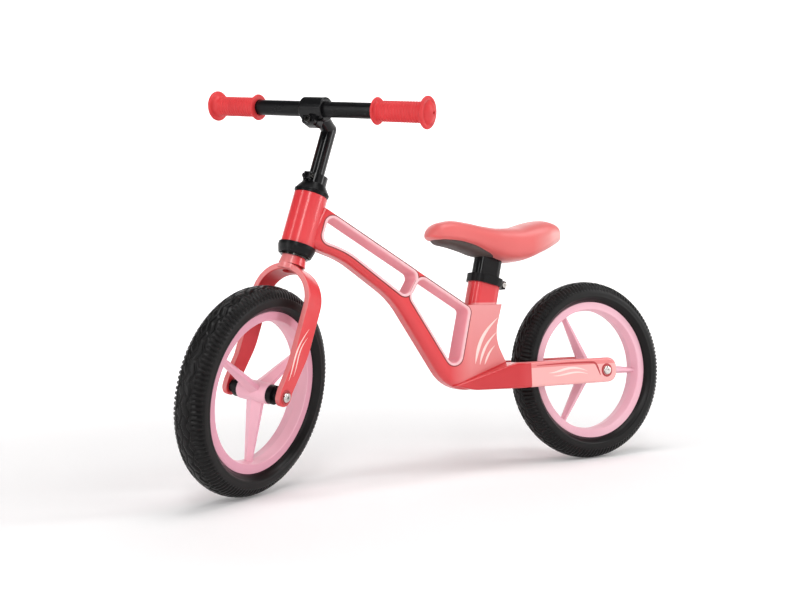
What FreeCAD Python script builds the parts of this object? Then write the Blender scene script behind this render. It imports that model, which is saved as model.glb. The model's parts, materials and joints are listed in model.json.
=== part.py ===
"""Child's balance bike, millimetres. +X forward, +Y to the rider's left, +Z up, origin on the ground
midway between the axles. The bars are turned to the left by the sheet's steer_angle."""
import FreeCAD, Part
import math
import os
import Sketcher
from FreeCAD import Placement, Rotation, Vector

os.makedirs("parts", exist_ok=True)
doc = FreeCAD.newDocument("balance_bike")

# ---------------------------------------------------------------- driving dimensions
SIZES = [
    # the layout of the bike
    ("wheelbase", 580), ("wheel_radius", 147.5), ("tyre_width", 49), ("head_angle", 72.2),
    ("fork_offset", 2.3), ("steer_angle", 35), ("casting_width", 38),
    # head tube and headset, heights measured along the steering axis
    ("arch_gap", 27.5), ("crown_rise", 12), ("head_tube_length", 76), ("head_tube_wall", 4.5),
    ("cup_stack", 18), ("cup_flange", 2.5), ("cup_insert", 12), ("cup_rim", 3), ("steerer_radius", 14.3),
    ("ball_radius", 2), ("ball_room", 3.9), ("cup_room", 1.9), ("cup_wall", 3.8), ("ball_play", 0.1),
    ("cover_gap", 0.4), ("cover_height", 13.5), ("collar_height", 13.5), ("collar_wall", 3.2),
    # fork
    ("fork_width_out", 102), ("fork_blade", 9), ("fork_blade_depth", 34), ("fork_set_back", 8.5),
    ("fork_end_radius", 13.5), ("crown_wall", 3.2),
    # stem and handlebar
    ("steerer_wall", 3.2), ("post_wall", 2.4), ("post_play", 0.06), ("post_inserted", 98),
    ("bar_above_collar", 85), ("bar_reach", 43), ("bar_radius", 11.1), ("bar_wall", 2),
    ("bar_length", 364), ("bar_clamp_wall", 6.1), ("bar_clamp_length", 38), ("clamp_lug", 9),
    ("grip_length", 86), ("grip_wall", 2.7), ("grip_inner_lip", 5.2), ("grip_outer_lip", 8.5),
    ("grip_end", 9),
    # frame casting
    ("block_rise", 112.5), ("block_gap", 30.5), ("block_rear_wall", 2.5), ("block_front_wall", 11.5),
    ("waist_in", 16), ("waist_drop", 52), ("waist_round", 60), ("bottom_run", 99), ("bottom_round", 64),
    ("knee_share", 0.3276), ("knee_rise", 143), ("knee_round", 130), ("rib_share", 0.2586), ("rib_rise", 40),
    ("seat_angle", 76), ("top_bar", 5.5), ("down_bar_front", 14), ("down_bar_rear", 24),
    ("window_rib", 5), ("window_corner", 10), ("window_wall", 4.6), ("edge_round", 1.5), ("lower_round", 12),
    ("stay_round", 4), ("stay_drop", 19.5), ("stay_height", 40), ("stay_width_out", 104),
    ("stay_thickness", 15), ("stay_tail", 22), ("tyre_room", 22),
    # seat tube, seat post and saddle
    ("seat_tube_depth", 50), ("seat_tube_width", 34), ("seat_tube_rise", 40), ("seat_tube_wall", 3),
    ("seat_post_play", 0.08), ("seat_post_bore", 112), ("seat_post_gap", 22), ("seat_clamp_wall", 3.4),
    ("seat_clamp_height", 13), ("saddle_length", 240), ("saddle_width", 138), ("saddle_nose", 96.5),
    ("saddle_rise", 80), ("saddle_base_thickness", 5), ("saddle_inset", 7),
    # wheels
    ("rim_radius", 113), ("rim_depth", 15), ("rim_width", 29), ("rim_channel", 6), ("hub_wall", 3.5),
    ("hub_length", 50), ("bearing_radius", 11), ("bearing_width", 7), ("axle_radius", 4), ("axle_wall", 1),
    ("axle_play", 0.03), ("hub_cap_lip", 2.4), ("hub_cap_length", 8), ("spacer_wall", 5),
    ("spoke_root", 19), ("spoke_tip", 9), ("spoke_root_depth", 27), ("spoke_tip_depth", 12),
    ("front_spoke_turn", 104.5), ("rear_spoke_turn", 176.5),
    ("bolt_head_radius", 7), ("bolt_head_height", 4), ("turning_gap", 0.3),
]
# sizes that follow from the ones above
FOLLOWING = [
    ("crown_top", "wheel_radius + arch_gap + fork_blade + crown_rise"),
    ("head_bore", "steerer_radius + cup_room + cup_wall"), ("head_tube_radius", "head_bore + head_tube_wall"),
    ("cup_radius", "head_tube_radius + cup_flange"), ("ball_circle", "steerer_radius + ball_room"),
    ("crown_radius", "steerer_radius + crown_wall"), ("post_radius", "steerer_radius - steerer_wall"),
    ("bar_clamp_radius", "bar_radius + bar_clamp_wall"), ("grip_radius", "bar_radius + grip_wall"),
    ("grip_inner_flange", "grip_radius + grip_inner_lip"),
    ("grip_outer_flange", "grip_radius + grip_outer_lip"),
    ("block_height", "wheel_radius + block_rise"), ("block_back", "wheel_radius + block_gap - wheelbase / 2"),
    ("seat_axis_x", "block_back + block_rear_wall + seat_tube_depth / 2"),
    ("seat_axis_z", "block_height + 6"),
    ("block_front", "seat_axis_x + seat_tube_depth / 2 + block_front_wall"),
    ("stay_bottom", "wheel_radius - stay_drop"), ("stay_top", "stay_bottom + stay_height"),
    ("saddle_underside", "block_height + saddle_rise"), ("saddle_nose_x", "seat_axis_x + saddle_nose"),
    ("rim_inner_radius", "rim_radius - rim_depth"), ("rim_seat_radius", "rim_radius - rim_channel"),
    ("hub_radius", "bearing_radius + hub_wall"), ("hub_cap_radius", "bearing_radius + hub_cap_lip"),
    ("spacer_radius", "axle_radius + spacer_wall"), ("bolt_radius", "axle_radius - axle_wall"),
]
sheet = doc.addObject("Spreadsheet::Sheet", "Sizes")
for row, (alias, value) in enumerate(SIZES + FOLLOWING, start=1):
    sheet.set("A%d" % row, alias)
    sheet.setAlias("B%d" % row, alias)
    sheet.set("B%d" % row, "=" + value if isinstance(value, str) else "%g" % value)
doc.recompute()


def size(alias):
    """The number that a cell of the sheet holds."""
    return float(getattr(sheet, alias))


def value_of(expression):
    """The number that an expression in the sheet's aliases comes to."""
    result = sheet.evalExpression(expression)
    return float(getattr(result, "Value", result))


def named(text):
    """Write the aliases in an expression as cells of the sheet."""
    words = []
    word = ""
    for letter in text + " ":
        if letter.isalnum() or letter == "_":
            word += letter
            continue
        words.append("Sizes." + word if word in ALIASES else word)
        words.append(letter)
        word = ""
    return "".join(words).strip()


ALIASES = {alias for alias, value in SIZES + FOLLOWING}
NODES = []


def keep(item, label, placement=None):
    """Give a sub-part its name and place, and list it for export."""
    item.Label = label
    if placement is not None:
        item.Placement = placement
    NODES.append(item)
    return item


# ---------------------------------------------------------------- places
HEAD_LEAN = 90 - size("head_angle")
SIN_HEAD = math.cos(math.radians(HEAD_LEAN))
COS_HEAD = math.sin(math.radians(HEAD_LEAN))
TRAIL = (size("wheel_radius") * COS_HEAD - size("fork_offset")) / SIN_HEAD
AXIS_FOOT = Vector(size("wheelbase") / 2 + TRAIL, 0, 0)
AXLE_UP = TRAIL * COS_HEAD + size("wheel_radius") * SIN_HEAD
LEANED = Placement(AXIS_FOOT, Rotation(Vector(0, 1, 0), -HEAD_LEAN))
STEERED = LEANED.multiply(Placement(Vector(), Rotation(Vector(0, 0, 1), size("steer_angle"))))
ACROSS = Rotation(Vector(1, 0, 0), -90)

CROWN_TOP = AXLE_UP + size("crown_top")
HEAD_BOTTOM = CROWN_TOP + size("cup_stack")
HEAD_TOP = HEAD_BOTTOM + size("head_tube_length")
COVER_BOTTOM = HEAD_TOP + size("cup_rim") + size("cover_gap")
COLLAR_BOTTOM = COVER_BOTTOM + size("cover_height")
COLLAR_TOP = COLLAR_BOTTOM + size("collar_height")
BAR_UP = COLLAR_TOP + size("bar_above_collar")


def on_axis(height):
    """A steered place at a height along the steering axis."""
    return STEERED.multiply(Placement(Vector(0, 0, height), Rotation()))


FRONT_AXLE = STEERED.multiply(Placement(Vector(size("fork_offset"), 0, AXLE_UP), ACROSS))
REAR_AXLE = Placement(Vector(-size("wheelbase") / 2, 0, size("wheel_radius")), ACROSS)
BAR_CENTRE = STEERED.multiply(Placement(Vector(size("bar_reach"), 0, BAR_UP), ACROSS))


# ---------------------------------------------------------------- makers
def origin_plane(body, role):
    """One of a body's own origin planes."""
    return next(item for item in body.Origin.OriginFeatures if item.Role == role)


def draw_outline(sketch, corners):
    """A closed outline whose corners sit where their pairs of expressions say."""
    places = [(value_of(named(a)), value_of(named(b))) for a, b in corners]
    count = len(corners)
    for i, (x, y) in enumerate(places):
        x_next, y_next = places[(i + 1) % count]
        sketch.addGeometry(Part.LineSegment(Vector(x, y, 0), Vector(x_next, y_next, 0)), False)
    for i in range(count):
        sketch.addConstraint(Sketcher.Constraint("Coincident", i, 2, (i + 1) % count, 1))
    for i, (corner, place) in enumerate(zip(corners, places)):
        for kind, expression, amount in zip(("DistanceX", "DistanceY"), corner, place):
            index = sketch.addConstraint(Sketcher.Constraint(kind, -1, 1, i, 1, amount))
            sketch.setExpression("Constraints[%d]" % index, named(expression))


def turned(label, corners, placement):
    """A body turned about its own Z axis from corners given as (radius, height)."""
    body = doc.addObject("PartDesign::Body", label + "_body")
    sketch = body.newObject("Sketcher::SketchObject", label + "_profile")
    sketch.AttachmentSupport = (origin_plane(body, "XZ_Plane"), "")
    sketch.MapMode = "FlatFace"
    draw_outline(sketch, corners)
    turn = body.newObject("PartDesign::Revolution", label + "_turn")
    turn.Profile = sketch
    turn.ReferenceAxis = (sketch, ["V_Axis"])
    turn.Angle = 360
    body.Placement = placement
    return body


def ring(label, inner, outer, low, high, placement):
    """A plain ring between two radii and two heights, all four given as expressions."""
    return turned(label, [(inner, low), (outer, low), (outer, high), (inner, high)], placement)


def both_sides(label, half, placement):
    """A piece and its mirror image across its own XY plane, as one node of separate solids."""
    half.Placement = Placement()
    mirror = doc.addObject("Part::Mirroring", label + "_mirror")
    mirror.Source = half
    mirror.Base = Vector()
    mirror.Normal = Vector(0, 0, 1)
    both = doc.addObject("Part::Compound", label)
    both.Links = [half, mirror]
    return keep(both, label, placement)


def shaped(label, shape, placement=None):
    """A sub-part whose shape comes from solids worked out from the sheet."""
    item = doc.addObject("Part::Feature", label)
    item.Shape = shape
    return keep(item, label, placement or Placement())


def rounded_wire(corners, radii, lift):
    """A closed wire of straight runs and tangent arcs; lift maps a flat point into space."""
    edges = []
    ends = []
    count = len(corners)
    for i, corner in enumerate(corners):
        here = Vector(corner[0], corner[1], 0)
        back = Vector(corners[i - 1][0], corners[i - 1][1], 0) - here
        ahead = Vector(corners[(i + 1) % count][0], corners[(i + 1) % count][1], 0) - here
        back.normalize()
        ahead.normalize()
        if radii[i] <= 0:
            ends.append((here, here, here))
            continue
        half_angle = math.acos(max(-1.0, min(1.0, back.dot(ahead)))) / 2
        run = radii[i] / math.tan(half_angle)
        middle = (back + ahead).normalize()
        near = here + middle * (radii[i] / math.sin(half_angle) - radii[i])
        ends.append((here + back * run, near, here + ahead * run))
    for i in range(count):
        start, near, end = ends[i]
        if radii[i] > 0:
            edges.append(Part.Arc(lift(start), lift(near), lift(end)).toShape())
        following = ends[(i + 1) % count][0]
        if (following - end).Length > 0.001:
            edges.append(Part.LineSegment(lift(end), lift(following)).toShape())
    return Part.Wire(edges)


def side_prism(corners, radii, half_width):
    """A slab whose outline lies in the XZ plane, centred on it."""
    wire = rounded_wire(corners, radii, lambda p: Vector(p.x, -half_width, p.y))
    return Part.Face(wire).extrude(Vector(0, 2 * half_width, 0))


def upright_prism(corners, radii, low, high):
    """A slab whose outline lies in the XY plane, between two heights."""
    wire = rounded_wire(corners, radii, lambda p: Vector(p.x, p.y, low))
    return Part.Face(wire).extrude(Vector(0, 0, high - low))


def front_prism(corners, radii, half_depth):
    """A slab whose outline lies in the YZ plane, centred on it."""
    wire = rounded_wire(corners, radii, lambda p: Vector(-half_depth, p.x, p.y))
    return Part.Face(wire).extrude(Vector(2 * half_depth, 0, 0))


def rod(radius, start, end):
    """A solid cylinder between two points."""
    along = end - start
    return Part.makeCylinder(radius, along.Length, start, along)


def oval(depth, width, corner, low, high):
    """A rounded rectangle, long in X, between two heights."""
    x = depth / 2
    y = width / 2
    return upright_prism([(-x, -y), (x, -y), (x, y), (-x, y)], [corner] * 4, low, high)


def softened(solid, radius, wanted):
    """Round the edges of a solid that the test picks."""
    edges = [edge for edge in solid.Edges if wanted(edge)]
    return solid.makeFillet(radius, edges)


def is_sharp(solid, edge):
    """Whether the two faces at an edge meet at a corner, not smoothly."""
    middle = edge.valueAt((edge.FirstParameter + edge.LastParameter) / 2)
    normals = [face.normalAt(*face.Surface.parameter(middle))
               for face in solid.ancestorsOfType(edge, Part.Face)]
    return len(normals) == 2 and abs(normals[0].dot(normals[1])) < 0.6


def crossing(a, b):
    """Where two lines meet in the plane, each given as (point, direction)."""
    (px, pz), (ux, uz) = a
    (qx, qz), (vx, vz) = b
    step = ((qx - px) * vz - (qz - pz) * vx) / (ux * vz - uz * vx)
    return (px + ux * step, pz + uz * step)


def through(p, q):
    """The line through two points, as (point, unit direction)."""
    length = math.hypot(q[0] - p[0], q[1] - p[1])
    return (p, ((q[0] - p[0]) / length, (q[1] - p[1]) / length))


def beside(line, distance):
    """The same line, moved to the left of its direction."""
    (px, pz), (ux, uz) = line
    return ((px - uz * distance, pz + ux * distance), (ux, uz))


# ---------------------------------------------------------------- frame casting
def head_point(forward, up_axis):
    """A point of the side view given from the steering axis, unsteered."""
    place = LEANED.multVec(Vector(forward, 0, up_axis))
    return (place.x, place.z)


HALF_CASTING = size("casting_width") / 2
SEAT_LEAN = math.radians(90 - size("seat_angle"))
SEAT_UP = (-math.sin(SEAT_LEAN), math.cos(SEAT_LEAN))
SEAT_AXIS = ((size("seat_axis_x"), size("seat_axis_z")), SEAT_UP)
SEAT_PLACE = Placement(Vector(size("seat_axis_x"), 0, size("seat_axis_z")),
                       Rotation(Vector(0, 1, 0), -(90 - size("seat_angle"))))
BOTTOM_CORNER = (size("block_back") + size("bottom_run"), size("stay_bottom"))
DOWN_KNEE = (size("block_back") + size("knee_share") * size("wheelbase"),
             size("stay_bottom") + size("knee_rise"))
DOWN_ROOT = head_point(-6, HEAD_BOTTOM + 2)
DOWN_BEND = (0.55 * DOWN_ROOT[0] + 0.45 * DOWN_KNEE[0] + 4, 0.69 * DOWN_ROOT[1] + 0.31 * DOWN_KNEE[1] + 4)
TOP_ROOT = head_point(-14, HEAD_TOP - 12)
BLOCK_FRONT = (size("block_front"), size("block_height"))
BLOCK_BACK = (size("block_back"), size("block_height"))

top_line = through(TOP_ROOT, BLOCK_FRONT)
down_line = through(DOWN_BEND, DOWN_ROOT)
knee_line = through(DOWN_KNEE, DOWN_BEND)
low_line = through(BOTTOM_CORNER, DOWN_KNEE)
head_wall = through(head_point(-28, HEAD_BOTTOM), head_point(-28, HEAD_TOP))
seat_wall = beside(SEAT_AXIS, -(size("seat_tube_depth") / 2 + size("window_wall")))


def make_windows():
    """The two through windows, each bounded by lines parallel to the bars around it."""
    roof = beside(top_line, size("top_bar"))
    front_floor = beside(down_line, size("down_bar_front"))
    front_knee = beside(knee_line, size("down_bar_front"))
    rear_floor = beside(low_line, size("down_bar_rear"))
    rib_point = (size("block_back") + size("rib_share") * size("wheelbase"),
                 size("block_height") + size("rib_rise"))
    rib_top = crossing(top_line, (rib_point, (-0.5, 0.86)))
    rib = through((rib_top[0] + 20, rib_top[1] - 33), rib_top)
    rib_front = beside(rib, -size("window_rib") / 2)
    rib_rear = beside(rib, size("window_rib") / 2)
    front = [crossing(roof, head_wall), crossing(head_wall, front_floor), crossing(front_floor, front_knee),
             crossing(front_knee, rib_front), crossing(rib_front, roof)]
    rear = [crossing(roof, rib_rear), crossing(rib_rear, rear_floor), crossing(rear_floor, seat_wall),
            crossing(seat_wall, roof)]
    corner = size("window_corner")
    return [(front, [corner, corner, 12 * corner, corner, corner]),
            (rear, [corner, corner, 1.2 * corner, 0.8 * corner])]


WINDOWS = make_windows()


def on_side(edge):
    """Whether an edge lies on either flat side of the pierced plate."""
    return abs(abs(edge.CenterOfMass.y) - HALF_CASTING) < 0.01


def below_top_bar(edge):
    """Whether an edge belongs to the lower outline, from the head tube to the stays."""
    (px, pz), (ux, uz) = top_line
    middle = edge.CenterOfMass
    return middle.x > size("block_back") + 30 and abs((middle.x - px) * uz - (middle.z - pz) * ux) > 20


def make_frame():
    """One casting: pierced side plate, head tube, seat tube and the two stays."""
    block_waist = (size("block_back") + size("waist_in"), size("block_height") - size("waist_drop"))
    stay_root = (size("block_back") - 4, size("stay_top"))
    outline = [TOP_ROOT, BLOCK_FRONT, BLOCK_BACK, block_waist, stay_root,
               (size("block_back") - 4, size("stay_bottom")), BOTTOM_CORNER, DOWN_KNEE, DOWN_BEND, DOWN_ROOT]
    waist = size("waist_round")
    knee = size("knee_round")
    plate = side_prism(outline, [0, 0, 0, waist, 0, 0, size("bottom_round"), knee, knee, 0], HALF_CASTING)
    plate = softened(plate, size("lower_round"), lambda e: on_side(e) and below_top_bar(e))
    for corners, radii in WINDOWS:
        plate = plate.cut(side_prism(corners, radii, HALF_CASTING + 1))
    plate = softened(plate, size("edge_round"), lambda e: on_side(e) and is_sharp(plate, e))

    half_out = size("stay_width_out") / 2
    half_in = half_out - size("stay_thickness")
    tail = -size("wheelbase") / 2 - size("stay_tail")
    mouth = -size("wheelbase") / 2 + size("wheel_radius") + size("tyre_room")
    shoulder = size("block_back") - 10
    low = size("stay_bottom")
    side = side_prism([(BOTTOM_CORNER[0] - 6, low + 8), (BOTTOM_CORNER[0] - 40, low), (tail, low),
                       (tail, size("stay_top")), stay_root],
                      [0, 40, 17, 17, 12], half_out + 1)
    plan = upright_prism([(BOTTOM_CORNER[0], -HALF_CASTING + 3), (shoulder, -half_out), (tail - 1, -half_out),
                          (tail - 1, -half_in), (mouth, -half_in), (mouth, half_in), (tail - 1, half_in),
                          (tail - 1, half_out), (shoulder, half_out), (BOTTOM_CORNER[0], HALF_CASTING - 3)],
                         [0, 40, 0, 0, 18, 18, 0, 0, 40, 0], size("stay_bottom") - 1, size("stay_top") + 1)
    yoke = side.common(plan)
    front = BOTTOM_CORNER[0] - 17
    yoke = softened(yoke, size("stay_round"), lambda e: is_sharp(yoke, e) and e.CenterOfMass.x < front)

    head = LEANED.multiply(Placement(Vector(0, 0, HEAD_BOTTOM), Rotation()))
    head_tube = Part.makeCylinder(size("head_tube_radius"), size("head_tube_length"))
    head_tube = head_tube.makeChamfer(0.8, head_tube.Edges)
    head_bore = Part.makeCylinder(size("head_bore"), size("head_tube_length") + 2, Vector(0, 0, -1))
    head_tube.Placement = head
    head_bore.Placement = head

    top = size("seat_tube_rise")
    wall = size("seat_tube_wall")
    seat_tube = oval(size("seat_tube_depth"), size("seat_tube_width"), SEAT_CORNER, -40, top)
    seat_bore = oval(size("seat_tube_depth") - 2 * wall, size("seat_tube_width") - 2 * wall,
                     SEAT_CORNER - wall, top - size("seat_post_bore"), top + 1)
    slot = Part.makeBox(40, 2.4, 26, Vector(-60, -1.2, top - 24))
    for solid in (seat_tube, seat_bore, slot):
        solid.Placement = SEAT_PLACE
    casting = plate.fuse([yoke, head_tube, seat_tube]).cut([head_bore, seat_bore, slot])
    cup_face = Part.makeCylinder(size("cup_radius") + 0.5, size("cup_stack") + 20,
                                 Vector(0, 0, -size("cup_stack") - 20))
    cup_face.Placement = head
    casting = casting.cut(cup_face)
    hole = Part.makeCylinder(size("bolt_radius") + 0.1, 2 * half_out + 2, Vector(0, 0, -half_out - 1))
    hole.Placement = REAR_AXLE
    return casting.cut(hole).removeSplitter()


SEAT_CORNER = 13
shaped("frame", make_frame())


# ---------------------------------------------------------------- headset
def make_balls(count, height):
    """A ring of loose bearing balls round the steering axis."""
    balls = []
    for i in range(count):
        angle = 2 * math.pi * i / count
        centre = Vector(size("ball_circle") * math.cos(angle), size("ball_circle") * math.sin(angle), height)
        balls.append(Part.makeSphere(size("ball_radius"), centre))
    return Part.makeCompound(balls)


HEAD_PLACE = LEANED.multiply(Placement(Vector(0, 0, HEAD_BOTTOM), Rotation()))
keep(turned("lower_cup", [("head_bore - cup_wall", "-6"), ("head_bore + 1.5", "-6"),
                          ("head_bore + 1.5", "3 - cup_stack"), ("cup_radius - 3", "3 - cup_stack"),
                          ("cup_radius", "-5"), ("cup_radius", "0"), ("head_bore", "0"),
                          ("head_bore", "cup_insert"), ("head_bore - cup_wall", "cup_insert")],
            HEAD_PLACE), "lower_cup")
keep(turned("upper_cup", [("head_bore - cup_wall", "head_tube_length - cup_insert"),
                          ("head_bore", "head_tube_length - cup_insert"), ("head_bore", "head_tube_length"),
                          ("head_tube_radius", "head_tube_length"),
                          ("head_tube_radius", "head_tube_length + cup_rim"),
                          ("head_bore - cup_wall", "head_tube_length + cup_rim")],
            HEAD_PLACE), "upper_cup")
BALL_LOW = HEAD_BOTTOM - 6 - size("ball_play") - size("ball_radius")
BALL_HIGH = HEAD_TOP + size("cup_rim") + size("ball_play") + size("ball_radius")
shaped("lower_balls", make_balls(20, BALL_LOW), LEANED)
shaped("upper_balls", make_balls(20, BALL_HIGH), LEANED)
keep(ring("crown_race", "steerer_radius + 0.02", "head_bore + 0.3", "0",
          "cup_stack - 6 - 2 * ball_radius - 2 * ball_play", on_axis(CROWN_TOP)), "crown_race")
keep(ring("upper_race", "steerer_radius + 0.02", "steerer_radius + 4.6", "0", "4.6",
          on_axis(BALL_HIGH + size("ball_radius") + size("ball_play"))), "upper_race")
keep(turned("headset_cover", [("head_tube_radius + 1", "0"), ("head_tube_radius + 1", "2"),
                              ("steerer_radius + 3.4", "cover_height"),
                              ("steerer_radius + 0.05", "cover_height"),
                              ("steerer_radius + 0.05", "cover_height - 2"),
                              ("steerer_radius + 3", "cover_height - 2"), ("head_tube_radius - 2", "2"),
                              ("head_tube_radius - 2", "0")], on_axis(COVER_BOTTOM)), "headset_cover")


# ---------------------------------------------------------------- fork
def make_fork():
    """A forged arch with two flat blades, a crown tube and a steerer."""
    half_out = size("fork_width_out") / 2
    half_in = half_out - size("fork_blade")
    foot = AXLE_UP - size("fork_end_radius")
    rise = size("crown_rise")
    spring = CROWN_TOP - rise - half_out
    outer = front_prism([(-half_out, foot), (half_out, foot), (half_out, CROWN_TOP - rise),
                         (-half_out, CROWN_TOP - rise)], [0, 0, half_out - 0.01, half_out - 0.01], 60)
    inner = front_prism([(-half_in, foot - 1), (half_in, foot - 1), (half_in, spring + half_in),
                         (-half_in, spring + half_in)], [0, 0, half_in - 0.01, half_in - 0.01], 61)
    half_depth = size("fork_blade_depth") / 2
    set_back = size("fork_set_back")
    end = size("fork_end_radius")
    axle_x = size("fork_offset")
    side = side_prism([(half_depth, CROWN_TOP), (half_depth - set_back, spring),
                       (half_depth - set_back, AXLE_UP + 45), (axle_x + end, AXLE_UP + 8),
                       (axle_x + end, foot), (axle_x - end, foot), (axle_x - end, AXLE_UP + 8),
                       (-half_depth - set_back, AXLE_UP + 62),
                       (-half_depth - set_back, spring), (-half_depth, CROWN_TOP)],
                      [0, 90, 50, 20, end - 0.5, end - 0.5, 20, 90, 90, 0], half_out + 1)
    blades = outer.cut(inner).common(side)
    blades = softened(blades, 2, lambda e: abs(e.CenterOfMass.y) > half_in - 1 and e.Length > 20
                      and abs(e.CenterOfMass.x - axle_x) > 8)
    crown_radius = size("crown_radius")
    crown = Part.makeCone(crown_radius + 2, crown_radius, rise, Vector(0, 0, CROWN_TOP - rise))
    neck = Part.makeCylinder(crown_radius + 2, 12, Vector(0, 0, CROWN_TOP - 20))
    neck = neck.common(outer)
    steerer = Part.makeCylinder(size("steerer_radius"), COLLAR_TOP - CROWN_TOP + 5,
                                Vector(0, 0, CROWN_TOP - 5))
    fork = blades.fuse([crown, neck, steerer])
    bore = Part.makeCylinder(size("post_radius") + size("post_play"), COLLAR_TOP - CROWN_TOP + 40,
                             Vector(0, 0, CROWN_TOP - 39))
    slot = Part.makeBox(30, 2, 30, Vector(0, -1, COLLAR_TOP - 26))
    hole = rod(size("bolt_radius") + 0.1, Vector(axle_x, -half_out - 1, AXLE_UP),
               Vector(axle_x, half_out + 1, AXLE_UP))
    return fork.cut([bore, slot, hole])


shaped("fork", make_fork(), STEERED)


# ---------------------------------------------------------------- stem, its collar, handlebar and grips
def make_collar():
    """A split ring with two ears in front, crossed by a bolt."""
    inner = size("steerer_radius") + 0.02
    outer = size("steerer_radius") + size("collar_wall")
    height = size("collar_height")
    band = Part.makeCylinder(outer, height)
    ears = Part.makeBox(8, 12, height - 2, Vector(outer - 2, -6, 1))
    ears = ears.makeFillet(2, [e for e in ears.Edges if abs(e.CenterOfMass.x - outer - 6) < 0.01])
    bore = Part.makeCylinder(inner, height + 2, Vector(0, 0, -1))
    slot = Part.makeBox(30, 2, height + 2, Vector(0, -1, -1))
    hole = rod(2.1, Vector(outer + 2.4, -10, height / 2), Vector(outer + 2.4, 10, height / 2))
    return band.fuse(ears).cut([bore, slot, hole])


def cross_bolt(shank, length, head, head_height):
    """A socket-head bolt along Z, centred, with its head at the top and a nut at the foot."""
    half = length / 2
    body = Part.makeCylinder(shank, length + head_height, Vector(0, 0, -half - head_height + 1))
    cap = Part.makeCylinder(head, head_height, Vector(0, 0, half))
    cap = cap.makeFillet(0.6, [cap.Edges[0]])
    turns = [math.radians(a) for a in range(0, 360, 60)]
    socket = upright_prism([(head * 0.5 * math.cos(a), head * 0.5 * math.sin(a)) for a in turns], [0] * 6,
                           half + head_height * 0.4, half + head_height + 1)
    nut = upright_prism([(head * math.cos(a), head * math.sin(a)) for a in turns], [0] * 6,
                        -half - head_height + 1, -half)
    return body.fuse([cap, nut]).cut(socket)


def make_stem():
    """A straight tube with an elbow and a split sleeve for the bar."""
    foot = COLLAR_TOP - size("post_inserted")
    elbow = Vector(0, 0, BAR_UP - 12)
    centre = Vector(size("bar_reach"), 0, BAR_UP)
    radius = size("post_radius")
    tube = rod(radius, Vector(0, 0, foot), elbow)
    arm = rod(radius - 0.2, elbow, centre)
    ball = Part.makeSphere(radius, elbow)
    half = size("bar_clamp_length") / 2
    sleeve = rod(size("bar_clamp_radius"), centre - Vector(0, half, 0), centre + Vector(0, half, 0))
    sleeve = sleeve.makeFillet(2, sleeve.Edges)
    drop = size("bar_clamp_radius") + size("clamp_lug")
    lug = Part.makeBox(20, 22, drop, Vector(centre.x - 10, -11, BAR_UP - drop))
    lug = lug.makeFillet(4, [e for e in lug.Edges if abs(e.CenterOfMass.z - BAR_UP + drop) < 0.01])
    solid = tube.fuse([ball, arm, sleeve, lug])
    beyond = Vector(0, half + 1, 0)
    bar_bore = rod(size("bar_radius") + 0.02, centre - beyond, centre + beyond)
    slit = Part.makeBox(2.4, 2 * half + 2, drop + 2, Vector(centre.x + 2.5, -half - 1, BAR_UP - drop - 1))
    hollow = rod(radius - size("post_wall"), Vector(0, 0, foot - 1), Vector(0, 0, BAR_UP - 22))
    bolt_up = BAR_UP - drop + 5.5
    hole = rod(3.05, Vector(centre.x - 8, 0, bolt_up), Vector(centre.x + 12, 0, bolt_up))
    return solid.cut([bar_bore, slit, hollow, hole])


def make_stem_bolt():
    """The pinch bolt under the bar, its head to the front."""
    level = BAR_UP - size("bar_clamp_radius") - size("clamp_lug") + 5.5
    face = size("bar_reach") + 10
    shank = rod(3, Vector(face - 17.9, 0, level), Vector(face, 0, level))
    head = rod(5, Vector(face, 0, level), Vector(face + 4, 0, level))
    head = head.makeFillet(0.8, [e for e in head.Edges if e.CenterOfMass.x > face + 3.9])
    socket = rod(2.4, Vector(face + 1.5, 0, level), Vector(face + 5, 0, level))
    return shank.fuse(head).cut(socket)


shaped("post_clamp", make_collar(), on_axis(COLLAR_BOTTOM))
collar_bolt_place = Placement(Vector(size("steerer_radius") + size("collar_wall") + 2.4, 0,
                                     size("collar_height") / 2), ACROSS)
shaped("post_clamp_bolt", cross_bolt(2, 12, 3.4, 3), on_axis(COLLAR_BOTTOM).multiply(collar_bolt_place))
shaped("stem", make_stem(), STEERED)
shaped("stem_bolt", make_stem_bolt(), STEERED)
keep(ring("handlebar", "bar_radius - bar_wall", "bar_radius", "-bar_length / 2", "bar_length / 2",
          BAR_CENTRE), "handlebar")


def make_grip(side):
    """A rubber grip with two flanges and a domed closed end; side is 1 for left, -1 for right."""
    start = size("bar_length") / 2 - size("grip_length") + size("grip_end") - 4
    body = size("grip_radius")
    bar_end = size("bar_length") / 2
    inner_flange = size("grip_inner_flange")
    outer_flange = size("grip_outer_flange")
    tip = bar_end + size("grip_end")
    profile = [(size("bar_radius"), start), (inner_flange, start), (inner_flange, start + 3.5),
               (body, start + 7), (body, bar_end - 6), (outer_flange, bar_end - 3),
               (outer_flange, bar_end + 1), (outer_flange - 5, tip - 3.5), (outer_flange - 12, tip),
               (2.5, tip), (2.5, bar_end + 0.1),
               (size("bar_radius"), bar_end + 0.1)]
    wire = Part.makePolygon([Vector(r, 0, z) for r, z in profile + profile[:1]])
    grip = Part.Face(wire).revolve(Vector(), Vector(0, 0, 1), 360)
    if side < 0:
        grip = grip.mirror(Vector(), Vector(0, 0, 1))
    return grip


shaped("left_grip", make_grip(1), BAR_CENTRE)
shaped("right_grip", make_grip(-1), BAR_CENTRE)


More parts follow.
